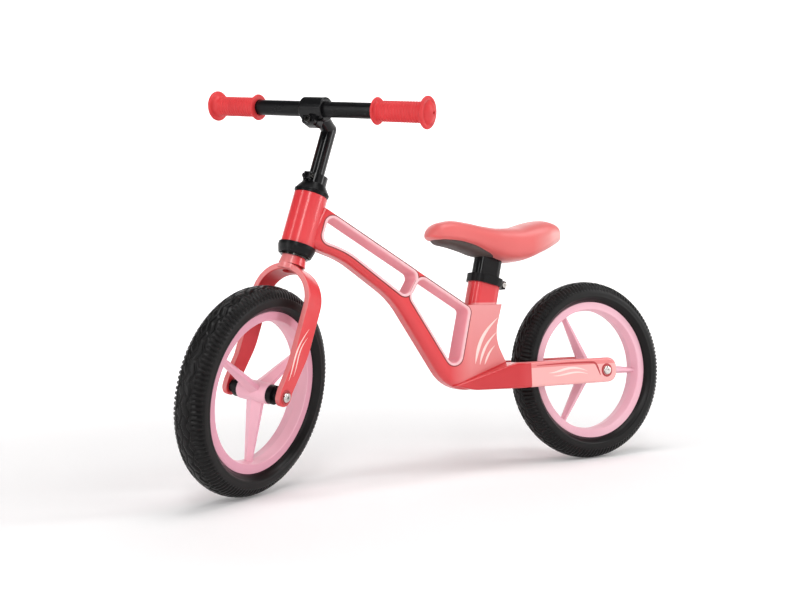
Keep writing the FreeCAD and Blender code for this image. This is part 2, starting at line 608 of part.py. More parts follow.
# ---------------------------------------------------------------- wheels
def make_wheel(turn_angle):
    """A moulded wheel: channel rim, three tapered spokes and a hub, about Z."""
    rim = size("rim_radius")
    half = size("rim_width") / 2
    seat = size("rim_seat_radius")
    inner = size("rim_inner_radius")
    edge = inner + 2.5
    profile = [(inner, 0), (edge, -half + 1), (edge + 1, -half), (rim, -half), (rim, -half + 3),
               (seat, -half + 5), (seat, half - 5), (rim, half - 3), (rim, half), (edge + 1, half),
               (edge, half - 1)]
    wire = Part.makePolygon([Vector(r, 0, z) for r, z in profile + profile[:1]])
    ring_solid = Part.Face(wire).revolve(Vector(), Vector(0, 0, 1), 360)
    half_hub = size("hub_length") / 2
    hub = Part.makeCylinder(size("hub_radius"), 2 * half_hub, Vector(0, 0, -half_hub))
    hub = hub.makeFillet(1, hub.Edges)

    def section(radius, width, depth):
        """A ridged hexagon across a spoke."""
        w = width / 2
        d = depth / 2
        corners = [(w, 0), (w / 3, d), (-w / 3, d), (-w, 0), (-w / 3, -d), (w / 3, -d)]
        return Part.makePolygon([Vector(radius, a, b) for a, b in corners + corners[:1]])

    spokes = []
    for i in range(3):
        spoke = Part.makeLoft([section(size("hub_radius") - 6, size("spoke_root"), size("spoke_root_depth")),
                               section(inner + 1.2, size("spoke_tip"), size("spoke_tip_depth"))], True, True)
        spoke.rotate(Vector(), Vector(0, 0, 1), turn_angle + 120 * i)
        spokes.append(spoke)
    wheel = ring_solid.fuse([hub] + spokes)
    seat_depth = size("bearing_width")
    tunnel = Part.makeCylinder(size("bearing_radius") - 2.5, 2 * half_hub + 2, Vector(0, 0, -half_hub - 1))
    left = Part.makeCylinder(size("bearing_radius"), seat_depth + 1, Vector(0, 0, half_hub - seat_depth))
    right = Part.makeCylinder(size("bearing_radius"), seat_depth + 1, Vector(0, 0, -half_hub - 1))
    return wheel.cut([tunnel, left, right])


def make_tyre():
    """A foamed tyre: an oval section with a foot in the rim's channel, about Z."""
    rim = size("rim_radius")
    seat = size("rim_seat_radius")
    half_rim = size("rim_width") / 2
    half = size("tyre_width") / 2
    outer = size("wheel_radius")
    height = outer - rim
    bead = rim + 0.2

    def at(z, r):
        return Vector(r, 0, z)

    shoulder = (half * 0.8, outer - 0.26 * height)
    edges = [Part.Arc(at(half_rim, bead), at(half, rim + 0.42 * height), at(*shoulder)).toShape(),
             Part.Arc(at(*shoulder), at(0, outer), at(-shoulder[0], shoulder[1])).toShape(),
             Part.Arc(at(-shoulder[0], shoulder[1]), at(-half, rim + 0.42 * height),
                      at(-half_rim, bead)).toShape()]
    foot = [(-half_rim, bead), (-half_rim + 3.2, bead), (-half_rim + 5.1, seat + 0.1),
            (half_rim - 5.1, seat + 0.1), (half_rim - 3.2, bead), (half_rim, bead)]
    for a, b in zip(foot, foot[1:]):
        edges.append(Part.LineSegment(at(*a), at(*b)).toShape())
    return Part.Face(Part.Wire(edges)).revolve(Vector(), Vector(0, 0, 1), 360)


def button_bolt(face):
    """A button-head bolt along Z with the underside of its head at a height."""
    head = size("bolt_head_radius")
    height = size("bolt_head_height")
    dome = Part.makeCylinder(head, height, Vector(0, 0, face))
    dome = dome.makeFillet(height * 0.7, [e for e in dome.Edges if e.CenterOfMass.z > face + height - 0.01])
    shank = Part.makeCylinder(size("bolt_radius"), 26, Vector(0, 0, face - 26))
    socket = Part.makeCylinder(2.2, height, Vector(0, 0, face + height * 0.35))
    return dome.fuse(shank).cut(socket)


def wheel_set(name, place, width_between, outer_width, turn_angle):
    """Everything on one axle."""
    between = "(%s) / 2" % width_between
    shaped(name + "_tyre", make_tyre(), place)
    shaped(name + "_wheel", make_wheel(turn_angle), place)
    bearing = ring(name + "_bearing", "axle_radius + axle_play", "bearing_radius",
                   "hub_length / 2 - bearing_width", "hub_length / 2", Placement())
    both_sides(name + "_bearings", bearing, place)
    sleeve = ring(name + "_bearing_spacer", "axle_radius + turning_gap", "axle_radius + 2.2",
                  "bearing_width - hub_length / 2", "hub_length / 2 - bearing_width", place)
    keep(sleeve, name + "_bearing_spacer")
    cap = ring(name + "_hub_cap", "spacer_radius + turning_gap", "hub_cap_radius", "hub_length / 2",
               "hub_length / 2 + hub_cap_length", Placement())
    both_sides(name + "_hub_caps", cap, place)
    spacer = ring(name + "_spacer", "axle_radius + 0.02", "spacer_radius", "hub_length / 2 + 0.1", between,
                  Placement())
    both_sides(name + "_spacers", spacer, place)
    keep(ring(name + "_axle", "bolt_radius", "axle_radius", "-" + between, between, place), name + "_axle")
    face = value_of(named("(%s) / 2" % outer_width))
    bolt = button_bolt(face)
    pair = Part.makeCompound([bolt, bolt.mirror(Vector(), Vector(0, 0, 1))])
    shaped(name + "_axle_bolts", pair, place)


wheel_set("front", FRONT_AXLE, "fork_width_out - 2 * fork_blade", "fork_width_out",
          size("front_spoke_turn"))
wheel_set("rear", REAR_AXLE, "stay_width_out - 2 * stay_thickness", "stay_width_out",
          size("rear_spoke_turn"))


# ---------------------------------------------------------------- seat post, its clamp and the saddle
SEAT_TOP = size("seat_tube_rise")
POST_DEPTH = size("seat_tube_depth") - 2 * size("seat_tube_wall") - 2 * size("seat_post_play")
POST_WIDTH = size("seat_tube_width") - 2 * size("seat_tube_wall") - 2 * size("seat_post_play")
POST_CORNER = SEAT_CORNER - size("seat_tube_wall")


def make_seat_clamp():
    """A split band round the top of the seat tube with two ears at the back."""
    wall = size("seat_clamp_wall")
    depth = size("seat_tube_depth")
    width = size("seat_tube_width")
    height = size("seat_clamp_height")
    low = SEAT_TOP - height
    band = oval(depth + 2 * wall, width + 2 * wall, SEAT_CORNER + wall, low, SEAT_TOP)
    ears = Part.makeBox(12, 13, height, Vector(-depth / 2 - wall - 10, -6.5, low))
    ears = ears.makeFillet(3, [e for e in ears.Edges if abs(e.CenterOfMass.x + depth / 2 + wall + 10) < 0.01])
    bore = oval(depth + 0.04, width + 0.04, SEAT_CORNER + 0.02, low - 1, SEAT_TOP + 1)
    slot = Part.makeBox(30, 2.4, height + 2, Vector(-depth / 2 - wall - 20, -1.2, low - 1))
    middle = low + height / 2
    hole = rod(2.6, Vector(-depth / 2 - wall - 4.5, -9, middle), Vector(-depth / 2 - wall - 4.5, 9, middle))
    return band.fuse(ears).cut([bore, slot, hole])


def make_seat_post():
    """A hollow rounded-rectangular tube closed at the top, where the saddle is screwed on."""
    low = SEAT_TOP - size("seat_post_bore") + size("seat_post_gap")
    tube = oval(POST_DEPTH, POST_WIDTH, POST_CORNER, low, SEAT_POST_TOP)
    hollow = oval(POST_DEPTH - 6, POST_WIDTH - 6, POST_CORNER - 3, low - 1, SEAT_POST_TOP - 5)
    solid = tube.cut(hollow)
    for x in (-SCREW_SPREAD, SCREW_SPREAD):
        solid = solid.cut(Part.makeCylinder(2.05, 8, Vector(x, 0, SEAT_POST_TOP - 7)))
    return solid


SCREW_SPREAD = 12
saddle_drop = size("saddle_underside") - size("saddle_base_thickness") - size("seat_axis_z")
SEAT_POST_TOP = saddle_drop / math.cos(SEAT_LEAN)
clamp_bolt_place = Placement(Vector(-size("seat_tube_depth") / 2 - size("seat_clamp_wall") - 4.5, 0,
                                    SEAT_TOP - size("seat_clamp_height") / 2), ACROSS)
shaped("seat_clamp", make_seat_clamp(), SEAT_PLACE)
shaped("seat_clamp_bolt", cross_bolt(2.5, 13, 4.3, 3.4), SEAT_PLACE.multiply(clamp_bolt_place))
shaped("seat_post", make_seat_post(), SEAT_PLACE)

# stations along the saddle: how far back (share of the length), half width (share), top and skirt
# heights above the underside
SADDLE_STATIONS = [(0.015, 0.24, 34, 19), (0.09, 0.40, 49, 17), (0.22, 0.46, 51, 14), (0.36, 0.55, 45, 7),
                   (0.47, 0.70, 41.5, -5), (0.59, 0.88, 42, -13), (0.74, 1.00, 51, -9), (0.87, 0.92, 54, 8),
                   (0.97, 0.55, 48, 21)]


def saddle_ring(station, inset, lowered):
    """One closed cross-section of the saddle, crowned on top with tucked-in sides."""
    share, half_share, top, skirt = station
    x = size("saddle_nose_x") - share * size("saddle_length")
    half = half_share * size("saddle_width") / 2 - inset
    under = size("saddle_underside")
    crown = under + top
    floor = under + skirt
    points = []
    for i in range(16):
        angle = 2 * math.pi * i / 16
        y = half * math.copysign(abs(math.cos(angle)) ** 0.8, math.cos(angle))
        rise = math.sin(angle)
        middle = floor + 0.35 * (crown - floor)
        z = middle + (crown - middle) * max(rise, 0) ** 0.9 - (middle - floor) * max(-rise, 0) ** 0.6
        points.append(Vector(x, y, z - lowered))
    curve = Part.BSplineCurve()
    curve.interpolate(points, PeriodicFlag=True)
    return Part.Wire([curve.toShape()])


def socket_block():
    """The solid block under the saddle that the post's socket is cut in."""
    block = oval(POST_DEPTH + 16, POST_WIDTH + 12, POST_CORNER + 6, SEAT_POST_TOP - 8, SEAT_POST_TOP + 10)
    block.Placement = SEAT_PLACE
    return block


def make_saddle_pad():
    """The padded top, a closed loft through its cross-sections with room for the socket block."""
    room = oval(POST_DEPTH + 16.2, POST_WIDTH + 12.2, POST_CORNER + 6.1, SEAT_POST_TOP - 40,
                SEAT_POST_TOP + 10)
    room.Placement = SEAT_PLACE
    return Part.makeLoft([saddle_ring(station, 0, 0) for station in SADDLE_STATIONS], True, False).cut(room)


def make_saddle_base(pad):
    """The moulded base: a lower, narrower copy of the top less the top itself, and a socket block."""
    inset = size("saddle_inset")
    rings = [saddle_ring(station, inset, inset) for station in SADDLE_STATIONS[:-1]]
    lower = Part.makeLoft(rings, True, False)
    base = lower.fuse(socket_block()).cut(pad)
    socket = oval(POST_DEPTH + 0.1, POST_WIDTH + 0.1, POST_CORNER + 0.05, SEAT_POST_TOP - 30, SEAT_POST_TOP)
    socket.Placement = SEAT_PLACE
    base = base.cut(socket)
    for x in (-SCREW_SPREAD, SCREW_SPREAD):
        screw = Part.makeCylinder(2.02, 12, Vector(x, 0, SEAT_POST_TOP - 6))
        screw.Placement = SEAT_PLACE
        base = base.cut(screw)
    return base


def make_saddle_screws():
    """Two screws up through the post's closed top into the base."""
    screws = []
    for x in (-SCREW_SPREAD, SCREW_SPREAD):
        shank = Part.makeCylinder(2, 10, Vector(x, 0, SEAT_POST_TOP - 5))
        head = Part.makeCylinder(3.8, 2.4, Vector(x, 0, SEAT_POST_TOP - 7.4))
        screws.append(shank.fuse(head))
    return Part.makeCompound(screws)


pad_shape = make_saddle_pad()
shaped("saddle_pad", pad_shape)
shaped("saddle_base", make_saddle_base(pad_shape))
shaped("saddle_screws", make_saddle_screws(), SEAT_PLACE)


# ---------------------------------------------------------------- checks and export
doc.recompute()
faults = []
for item in doc.Objects:
    if "Invalid" in item.State or "Error" in item.State:
        faults.append("%s: %s" % (item.Name, item.State))
for item in NODES:
    if item.Shape.isNull() or not item.Shape.isValid():
        faults.append(item.Label + ": bad shape")
if faults:
    raise SystemExit("failed objects: " + "; ".join(faults))
for item in NODES:
    item.Shape.exportStep("parts/%s.step" % item.Label)
    box = item.Shape.BoundBox
    print("%-22s solids %2d volume %9.0f  x %6.1f %6.1f  y %6.1f %6.1f  z %6.1f %6.1f" % (
        item.Label, len(item.Shape.Solids), item.Shape.Volume, box.XMin, box.XMax, box.YMin, box.YMax,
        box.ZMin, box.ZMax))
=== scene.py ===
import bpy
import json
import numpy as np
from mathutils import Matrix, Vector


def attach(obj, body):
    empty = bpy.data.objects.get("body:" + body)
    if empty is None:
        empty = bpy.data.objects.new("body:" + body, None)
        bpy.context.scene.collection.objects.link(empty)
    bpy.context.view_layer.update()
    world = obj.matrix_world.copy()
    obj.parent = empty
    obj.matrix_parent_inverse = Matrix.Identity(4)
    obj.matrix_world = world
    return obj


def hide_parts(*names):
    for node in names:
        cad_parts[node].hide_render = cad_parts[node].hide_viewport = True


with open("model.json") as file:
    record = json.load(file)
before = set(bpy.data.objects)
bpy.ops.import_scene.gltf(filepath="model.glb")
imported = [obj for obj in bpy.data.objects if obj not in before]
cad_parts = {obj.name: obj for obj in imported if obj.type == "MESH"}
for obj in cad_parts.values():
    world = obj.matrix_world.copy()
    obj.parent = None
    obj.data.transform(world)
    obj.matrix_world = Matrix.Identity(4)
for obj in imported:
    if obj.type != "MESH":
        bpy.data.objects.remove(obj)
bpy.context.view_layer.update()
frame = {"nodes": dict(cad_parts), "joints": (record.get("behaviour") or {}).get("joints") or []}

# ------------------------------------------------------------------ studio: floor, light and camera
# A sheet of white paper that turns up into a wall all round, three softboxes on stands and one overhead,
# and a low camera in front of the rider's left side.
AWAY = np.array([-0.459, -0.888, 0.0])      # level, from the camera towards the bike
ASIDE = np.array([-0.888, 0.459, 0.0])      # level, to the camera's right


def new_mesh(name, corners, faces, smooth=True):
    """A mesh object from an (N, 3) array of corners and an (M, 3 or 4) array of corner numbers."""
    mesh = bpy.data.meshes.new(name)
    corners = np.ascontiguousarray(corners, dtype=np.float32)
    faces = np.ascontiguousarray(faces, dtype=np.int32)
    sides = faces.shape[1]
    mesh.vertices.add(len(corners))
    mesh.vertices.foreach_set("co", corners.ravel())
    mesh.loops.add(faces.size)
    mesh.loops.foreach_set("vertex_index", faces.ravel())
    mesh.polygons.add(len(faces))
    mesh.polygons.foreach_set("loop_start", np.arange(len(faces), dtype=np.int32) * sides)
    mesh.polygons.foreach_set("use_smooth", np.full(len(faces), smooth))
    mesh.update(calc_edges=True)
    mesh.validate()
    item = bpy.data.objects.new(name, mesh)
    bpy.context.scene.collection.objects.link(item)
    return item


def grid_faces(rows, columns, wrap_rows=False, wrap_columns=False, start=0):
    """Four-sided faces of a grid of rows x columns corners, joined round on itself where asked."""
    r = np.arange(rows if wrap_rows else rows - 1)
    c = np.arange(columns if wrap_columns else columns - 1)
    r, c = np.meshgrid(r, c, indexing="ij")
    r_next = (r + 1) % rows
    c_next = (c + 1) % columns
    quads = np.stack([r * columns + c, r * columns + c_next,
                      r_next * columns + c_next, r_next * columns + c], -1)
    return quads.reshape(-1, 4) + start


def sweep_floor():
    """A flat floor that turns up into a wall all round. At a bearing p from the middle of the back wall the
    floor is flat to R = 12 - 8.8 exp(-(p / 0.75)^4) metres, then bends up on a radius of 1.6 m; the wall
    is 6 m high at the back and 4 m elsewhere."""
    bend = 1.6
    bearing = np.linspace(-np.pi, np.pi, 120, endpoint=False)[:, None]
    near = np.exp(-(bearing / 0.75) ** 4)
    flat = 12.0 - 8.8 * near
    turn = np.linspace(0, np.pi / 2, 24)[None, :]
    share = np.array([0.0, 0.35, 0.8])[None, :]
    run = np.concatenate([flat * share, flat + bend * np.sin(turn), flat + bend], axis=1)
    rise = np.concatenate([0 * flat * share, bend * (1 - np.cos(turn)) + 0 * flat, 4.0 + 2.0 * near], axis=1)
    points = (run * np.cos(bearing))[..., None] * AWAY + (run * np.sin(bearing))[..., None] * ASIDE
    points = points + rise[..., None] * np.array([0, 0, 1.0])
    faces = grid_faces(*run.shape, True, False)[:, ::-1]
    return new_mesh("studio_floor", points.reshape(-1, 3), faces)


def softbox(name, place, target, width, height, power):
    """A soft white rectangular lamp, in metres and watts, that faces a point."""
    lamp = bpy.data.lights.new(name, "AREA")
    lamp.shape = "RECTANGLE"
    lamp.size = width
    lamp.size_y = height
    lamp.energy = power
    item = bpy.data.objects.new(name, lamp)
    item.location = place
    item.rotation_euler = (Vector(target) - Vector(place)).to_track_quat("-Z", "Y").to_euler()
    bpy.context.scene.collection.objects.link(item)
    return item


class Painter:
    """Puts a material together node by node; its surface shader is ready to be set."""

    def __init__(self, name):
        self.material = bpy.data.materials.new(name)
        self.material.use_nodes = True
        self.tree = self.material.node_tree
        self.shader = self.tree.nodes["Principled BSDF"]

    def add(self, kind, **settings):
        """A node of a kind, with its properties set by name."""
        node = self.tree.nodes.new("ShaderNode" + kind)
        for key, value in settings.items():
            setattr(node, key, value)
        return node

    def link(self, source, target):
        """Join an output to an input."""
        self.tree.links.new(source, target)

    def fill(self, **values):
        """Set the shader's own sockets; an underscore stands for a space."""
        for key, value in values.items():
            self.shader.inputs[key.replace("_", " ")].default_value = value

    def place(self, scale=1.0):
        """Object coordinates, in metres times a scale."""
        where = self.add("TexCoord")
        mapping = self.add("Mapping")
        mapping.inputs["Scale"].default_value = (scale, scale, scale)
        self.link(where.outputs["Object"], mapping.inputs["Vector"])
        return mapping.outputs["Vector"]

    def noise(self, scale, detail=3.0, roughness=0.5):
        """Noise of so many cells to the metre."""
        node = self.add("TexNoise")
        node.inputs["Scale"].default_value = scale
        node.inputs["Detail"].default_value = detail
        node.inputs["Roughness"].default_value = roughness
        self.link(self.place(), node.inputs["Vector"])
        return node.outputs["Fac"]

    def spread(self, source, low, high, low_in=0.3, high_in=0.7):
        """Turn a value from one range into another, clamped."""
        node = self.add("MapRange")
        node.inputs["From Min"].default_value = low_in
        node.inputs["From Max"].default_value = high_in
        node.inputs["To Min"].default_value = low
        node.inputs["To Max"].default_value = high
        self.link(source, node.inputs["Value"])
        return node.outputs["Result"]

    def blend(self, factor, first, second):
        """Mix two colours by a value; either may be a socket or a plain colour."""
        node = self.add("Mix", data_type="RGBA")
        for socket, value in ((node.inputs[6], first), (node.inputs[7], second)):
            if isinstance(value, tuple):
                socket.default_value = value
            else:
                self.link(value, socket)
        self.link(factor, node.inputs[0])
        return node.outputs[2]

    def math(self, operation, a, b=0.0):
        """One arithmetic step; a and b are sockets or numbers."""
        node = self.add("Math", operation=operation)
        for socket, value in ((node.inputs[0], a), (node.inputs[1], b)):
            if isinstance(value, (int, float)):
                socket.default_value = value
            else:
                self.link(value, socket)
        return node.outputs[0]

    def mottle(self, scale, detail, first, second):
        """Set the base colour to two shades, mixed by noise of so many cells to the metre."""
        colour = self.blend(self.spread(self.noise(scale, detail), 0.0, 1.0), first, second)
        self.link(colour, self.shader.inputs["Base Color"])
        return colour

    def coordinate(self, axis):
        """One Object coordinate, in metres: 0 forward, 1 left, 2 up."""
        where = self.add("TexCoord")
        parts = self.add("SeparateXYZ")
        self.link(where.outputs["Object"], parts.inputs[0])
        return parts.outputs[axis]

    def facing(self, direction):
        """How far the surface turns towards a direction, from -1 to 1, in the piece's own frame."""
        surface = self.add("TexCoord")
        product = self.add("VectorMath", operation="DOT_PRODUCT")
        product.inputs[1].default_value = tuple(direction)
        self.link(surface.outputs["Normal"], product.inputs[0])
        return product.outputs["Value"]

    def step(self, source, start, end):
        """0 up to a start value, 1 from an end value, smooth between; the two may run either way."""
        return self.spread(source, 0.0, 1.0, start, end)

    def bump(self, height, distance, strength=1.0):
        """Raise the surface by a value, over a distance in metres."""
        node = self.add("Bump")
        node.inputs["Strength"].default_value = strength
        node.inputs["Distance"].default_value = distance
        self.link(height, node.inputs["Height"])
        self.link(node.outputs["Normal"], self.shader.inputs["Normal"])


def paper_paint():
    """Matt white paper with the faintest mottling. It glows more with distance from the bike, and half as
    much beyond the camera."""
    paint = Painter("studio_paper")
    cloud = paint.spread(paint.noise(3.0), 0.0, 1.0)
    colour = paint.blend(cloud, (0.93, 0.92, 0.92, 1.0), (0.915, 0.905, 0.905, 1.0))
    paint.link(colour, paint.shader.inputs["Base Color"])
    paint.fill(Roughness=0.9, Specular_IOR_Level=0.2, Emission_Color=(1.0, 0.99, 0.99, 1.0))
    distance = paint.add("VectorMath", operation="LENGTH")
    paint.link(paint.place(), distance.inputs[0])
    glow = paint.spread(distance.outputs["Value"], 0.09, 0.75, 0.5, 2.6)
    ahead = paint.math("ADD", paint.math("MULTIPLY", paint.coordinate(0), -float(AWAY[0])),
                       paint.math("MULTIPLY", paint.coordinate(1), -float(AWAY[1])))
    dimmed = paint.math("MULTIPLY", glow, paint.spread(ahead, 1.0, 0.5, 1.4, 3.0))
    paint.link(dimmed, paint.shader.inputs["Emission Strength"])
    return paint.material


floor = sweep_floor()
floor.data.materials.append(paper_paint())

softbox("softbox_key", (1.15, 2.2, 1.9), (0.0, 0.0, 0.25), 0.5, 1.9, 26)
softbox("softbox_front", (2.4, 0.4, 1.0), (0.0, 0.0, 0.25), 0.4, 1.9, 12)
softbox("softbox_rear", (-1.9, 1.3, 1.2), (-0.1, 0.0, 0.25), 0.5, 1.9, 21)
softbox("softbox_top", (0.0, 0.4, 2.4), (0.0, 0.0, 0.2), 1.6, 1.2, 24)

world = bpy.data.worlds.new("studio_air")
world.use_nodes = True
world.node_tree.nodes["Background"].inputs["Color"].default_value = (1.0, 1.0, 1.0, 1.0)
world.node_tree.nodes["Background"].inputs["Strength"].default_value = 0.10
bpy.context.scene.world = world

azimuth, elevation, roll = np.radians([152.644, -1.872, -1.97])
backwards = Vector((np.sin(azimuth) * np.cos(elevation),
                    -np.cos(azimuth) * np.cos(elevation),
                    np.sin(elevation)))
level = Vector((0, 0, 1)).cross(backwards).normalized()
upright = backwards.cross(level)
rightwards = np.cos(roll) * level + np.sin(roll) * upright
upwards = -np.sin(roll) * level + np.cos(roll) * upright
camera_data = bpy.data.cameras.new("camera")
camera_data.lens = 39.63
camera_data.sensor_width = 36.0
camera = bpy.data.objects.new("camera", camera_data)
turn = Matrix((rightwards, upwards, backwards)).transposed().to_4x4()
camera.matrix_world = Matrix.Translation((0.6717, 1.1823, 0.2265)) @ turn
bpy.context.scene.collection.objects.link(camera)
bpy.context.scene.camera = camera
bpy.context.scene.view_settings.view_transform = "Standard"


# ------------------------------------------------------------------ frame casting and fork
# Die-cast magnesium and a forged arch, powder coated in gloss coral, with painted shade in deeper coral under
# the crease. A salmon painted reflection lies over the block under the seat tube, a pale panel over the outer
# faces of the stays. Painted highlights lie on the stays' tops and the fork blades' front edges.
CORAL = (0.74, 0.048, 0.055, 1.0)
CORAL_DEEP = (0.65, 0.031, 0.039, 1.0)
# SALMON and SALMON_PALE colour the painted reflection and highlights; SALMON also tops the stays' panel.
SALMON = (0.76, 0.205, 0.205, 1.0)
SALMON_PALE = (0.77, 0.29, 0.29, 1.0)
PANEL_PINK = (0.86, 0.41, 0.40, 1.0)


def dress(node, material):
    """Give a CAD node's slots one material."""
    materials = frame["nodes"][node].data.materials
    if not materials:
        materials.append(material)
    for i in range(len(materials)):
        materials[i] = material


def coral_coat(paint):
    """The coral coat's colour, which drifts slowly over tens of millimetres."""
    drift = paint.spread(paint.noise(6.0, 4.0), 0.0, 1.0)
    return paint.blend(drift, CORAL, CORAL_DEEP)


def glossy(paint, peel=0.00002):
    """Orange peel, slightly varied gloss and a clear coat."""
    paint.link(paint.spread(paint.noise(70.0), 0.28, 0.40), paint.shader.inputs["Roughness"])
    paint.fill(Coat_Weight=0.6, Coat_Roughness=0.15, Specular_IOR_Level=0.35)
    paint.bump(paint.noise(800.0, 2.0), peel, 0.4)


def frame_paint():
    """Coral everywhere, with painted shade in deeper coral below the crease that runs from the top of the
    stays down to the lowest corner.
    Salmon as a painted reflection on the side faces above the crease and as a painted highlight on the stays'
    upward faces, paler higher up; a pale panel on the outer faces of the stays behind a straight edge."""
    paint = Painter("frame_coat")
    x = paint.coordinate(0)
    y = paint.math("ABSOLUTE", paint.coordinate(1))
    z = paint.coordinate(2)
    sideways = paint.math("ABSOLUTE", paint.facing((0, 1, 0)))
    crease = paint.math("ADD", z, paint.math("MULTIPLY", x, 0.34))
    # Painted reflection: salmon on the block's side faces above the crease.
    block = paint.math("MULTIPLY", paint.step(crease, 0.1290, 0.1315), paint.step(x, -0.012, -0.050))
    block = paint.math("MULTIPLY", block, paint.step(sideways, 0.35, 0.75))
    block = paint.math("MULTIPLY", block, paint.step(x, -0.145, -0.120))
    block = paint.math("MULTIPLY", block, paint.step(z, 0.2640, 0.2615))
    panel = paint.math("MULTIPLY", paint.step(x, -0.1395, -0.1405), paint.step(y, 0.0485, 0.0500))
    # Painted highlight: salmon on the stays' upward faces behind x = -100 mm, below z = 200 mm.
    upwards = paint.step(paint.facing((0, 0, 1)), 0.5, 0.8)
    above = paint.math("MULTIPLY", upwards, paint.step(x, -0.100, -0.125))
    above = paint.math("MULTIPLY", above, paint.step(z, 0.200, 0.180))
    pale = paint.math("MAXIMUM", paint.math("MAXIMUM", block, panel), above)
    # Painted shade: deeper coral below the crease, behind x = -10 mm.
    below = paint.math("MULTIPLY", paint.step(crease, 0.1300, 0.1285), paint.step(x, -0.010, -0.060))
    # The painted reflection turns paler from z = 150 to 260 mm.
    height = paint.step(z, 0.150, 0.260)
    salmon = paint.blend(height, SALMON, SALMON_PALE)
    coral = paint.blend(below, coral_coat(paint), (0.58, 0.020, 0.027, 1.0))
    colour = paint.blend(pale, coral, salmon)
    colour = paint.blend(panel, colour, paint.blend(paint.step(z, 0.158, 0.1585), PANEL_PINK, SALMON))
    paint.link(colour, paint.shader.inputs["Base Color"])
    glossy(paint)
    return paint.material


def fork_paint():
    """Coral, with a painted highlight: a little paler where the blades' narrow edges face forward."""
    paint = Painter("fork_coat")
    # Painted highlight: paler where the blades' faces turn forward.
    edge = paint.step(paint.facing(forward), 0.55, 0.9)
    colour = paint.blend(edge, coral_coat(paint), SALMON)
    paint.link(colour, paint.shader.inputs["Base Color"])
    glossy(paint)
    return paint.material


joints = {joint["name"]: joint for joint in frame["joints"]}
x_axis, y_axis, z_axis = np.eye(3)
up = np.array(joints["steering"]["axis"])
left = np.array(joints["front_wheel_spin"]["axis"])
forward = np.cross(left, up)
front_hub = np.array(joints["front_wheel_spin"]["pos_m"])
rear_hub = np.array(joints["rear_wheel_spin"]["pos_m"])
dress("frame", frame_paint())
dress("fork", fork_paint())


# ------------------------------------------------------------------ window liners
# A pink nylon bead is snapped into each of the frame's two windows: a pale rolled lip on each face and a
# deeper pink band through the thickness. A thin dark strip between its lip and the casting is painted shade
# for the gap there.
def even_loop(points, count):
    """A closed loop of points set out again at even steps."""
    closed = np.vstack([points, points[:1]])
    along = np.concatenate([[0], np.cumsum(np.linalg.norm(np.diff(closed, axis=0), axis=1))])
    where = np.linspace(0, along[-1], count, endpoint=False)
    return np.stack([np.interp(where, along, closed[:, k]) for k in range(2)], -1)


def nearest_walls(middle, count=720):
    """The window's edge seen from a point inside it: on each ray, the nearest wall of the casting.
    A ray from the middle meets each edge segment of the casting's outline at y = 17.5 mm; the
    smallest positive distance is the window."""
    mesh = frame["nodes"]["frame"].data
    corners = np.empty(len(mesh.vertices) * 3, dtype=np.float32)
    mesh.vertices.foreach_get("co", corners)
    corners = corners.reshape(-1, 3)
    ends = np.empty(len(mesh.edges) * 2, dtype=np.int32)
    mesh.edges.foreach_get("vertices", ends)
    ends = ends.reshape(-1, 2)
    level = np.abs(corners[:, 1] - 0.0175) < 0.00002      # the wall's straight part, inside its rounded edge
    ends = ends[level[ends[:, 0]] & level[ends[:, 1]]]
    start = corners[ends[:, 0]][:, [0, 2]] - middle
    run = corners[ends[:, 1]][:, [0, 2]] - middle - start
    angle = np.linspace(0, 2 * np.pi, count, endpoint=False)
    ray = np.stack([np.cos(angle), np.sin(angle)], -1)
    cross = ray[:, None, 0] * run[None, :, 1] - ray[:, None, 1] * run[None, :, 0]
    cross = np.where(np.abs(cross) < 1e-12, 1e-12, cross)
    distance = (start[None, :, 0] * run[None, :, 1] - start[None, :, 1] * run[None, :, 0]) / cross
    share = (start[None, :, 0] * ray[:, None, 1] - start[None, :, 1] * ray[:, None, 0]) / cross
    distance = np.where((share >= -0.001) & (share <= 1.001) & (distance > 0), distance, 9.0).min(axis=1)
    return even_loop(middle + ray * distance[:, None], 360)


def bead(name, middle, profile):
    """A bead round a window: a profile of (outwards, sideways) points carried along the window's edge,
    each corner = edge + normal x outwards, with sideways as y. The profile is closed on itself."""
    loop = nearest_walls(np.array(middle))
    tangent = np.roll(loop, -2, axis=0) - np.roll(loop, 2, axis=0)
    tangent /= np.linalg.norm(tangent, axis=1, keepdims=True)
    normal = np.stack([tangent[:, 1], -tangent[:, 0]], -1)
    normal *= np.sign(np.sum(normal * (loop - np.array(middle))))
    places = loop[:, None, :] + normal[:, None, :] * profile[None, :, 0, None]
    sideways = np.broadcast_to(profile[None, :, 1], places.shape[:2])
    corners = np.stack([places[..., 0], sideways, places[..., 1]], -1)
    piece = new_mesh(name, corners.reshape(-1, 3), grid_faces(len(loop), len(profile), True, True))
    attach(piece, "frame")
    return face_out(piece)


def face_out(piece):
    """Turn a closed piece's faces so that they all point out of it."""
    mesh = piece.data
    corners = np.empty(len(mesh.vertices) * 3)
    mesh.vertices.foreach_get("co", corners)
    corners = corners.reshape(-1, 3)
    mesh.calc_loop_triangles()
    triangles = np.empty(len(mesh.loop_triangles) * 3, dtype=np.int32)
    mesh.loop_triangles.foreach_get("vertices", triangles)
    a, b, c = (corners[triangles.reshape(-1, 3)[:, k]] for k in range(3))
    if np.einsum("ij,ij->i", a, np.cross(b, c)).sum() < 0:
        mesh.flip_normals()
    return piece


